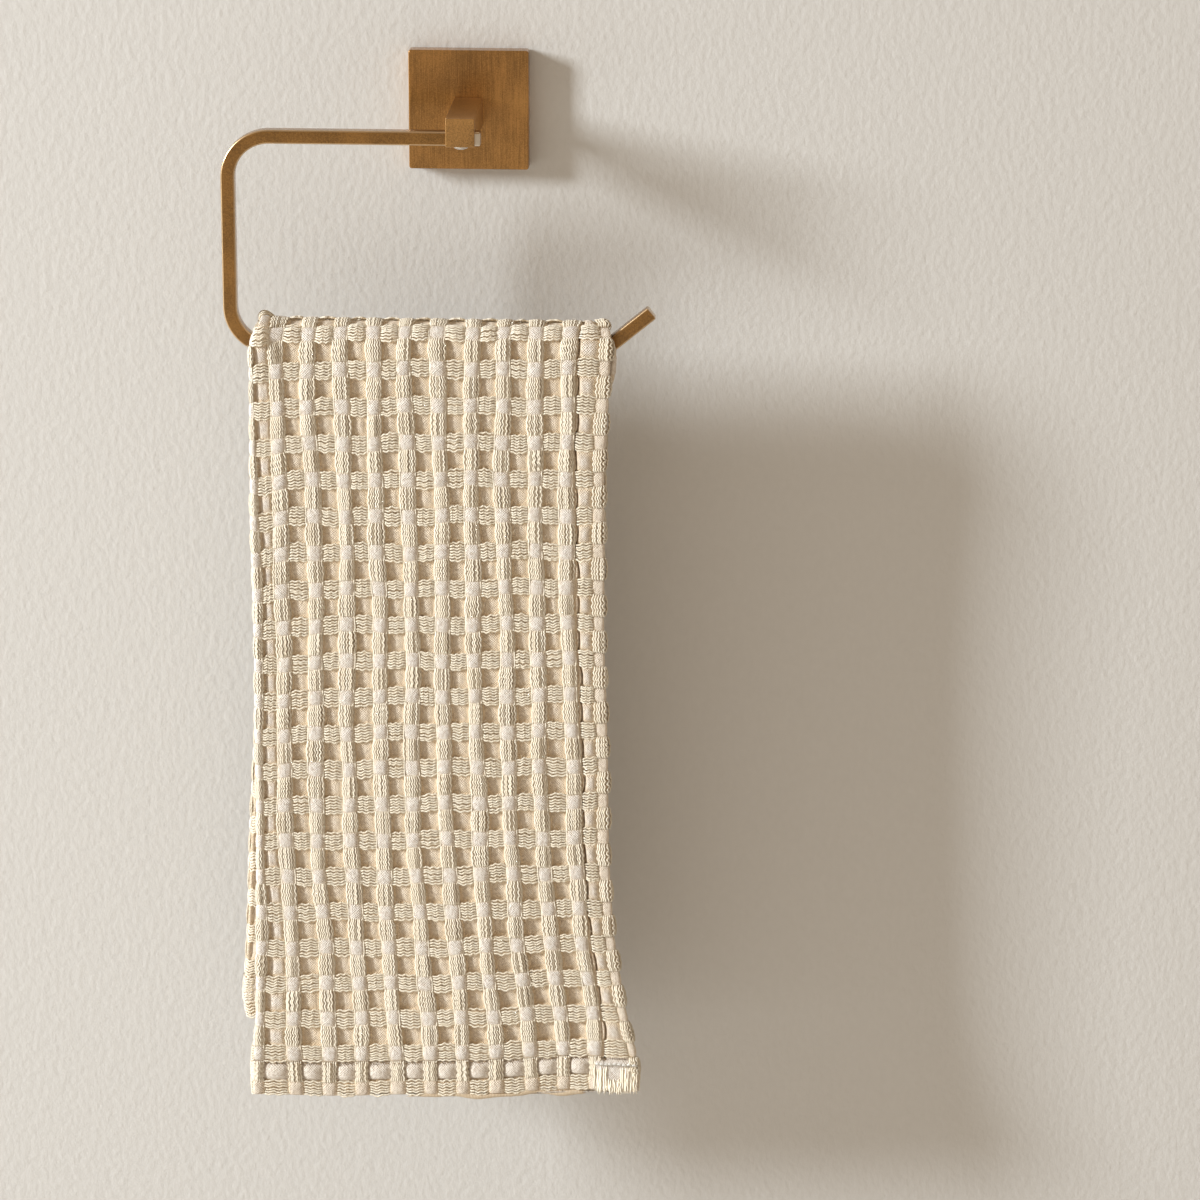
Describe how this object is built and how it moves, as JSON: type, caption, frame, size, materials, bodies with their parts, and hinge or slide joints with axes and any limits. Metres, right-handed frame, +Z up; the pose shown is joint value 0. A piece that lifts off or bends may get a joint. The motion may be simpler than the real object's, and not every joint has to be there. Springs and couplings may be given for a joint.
{
  "type": "hand towel on a wall towel ring",
  "caption": "Waffle-weave hand towel folded in thirds and draped over the lower bar of an open square-cornered wall towel ring of square brass bar.",
  "frame": {"origin": "middle of the wall plate's back face, on the wall", "axes": "+Z up, +Y into the wall, -Y out into the room, +X to the right as the ring is faced; the ring is open on its right"},
  "size_m": [0.1959, 0.0701, 0.4908],
  "materials": {
    "brass_brushed": "satin brass, fine upright brushed grain",
    "brass_satin": "satin brass, faint grain along the bar",
    "bright_steel": "polished, a little warm",
    "waffle_cloth": "undyed cotton and linen, heavy waffle weave with long floats"
  },
  "bodies": {
    "root": {"wall_plate": "brass_brushed", "post": "brass_satin", "ring_bar": "brass_satin", "ring_screw": "bright_steel", "towel": "waffle_cloth"}
  },
  "joints": []
}
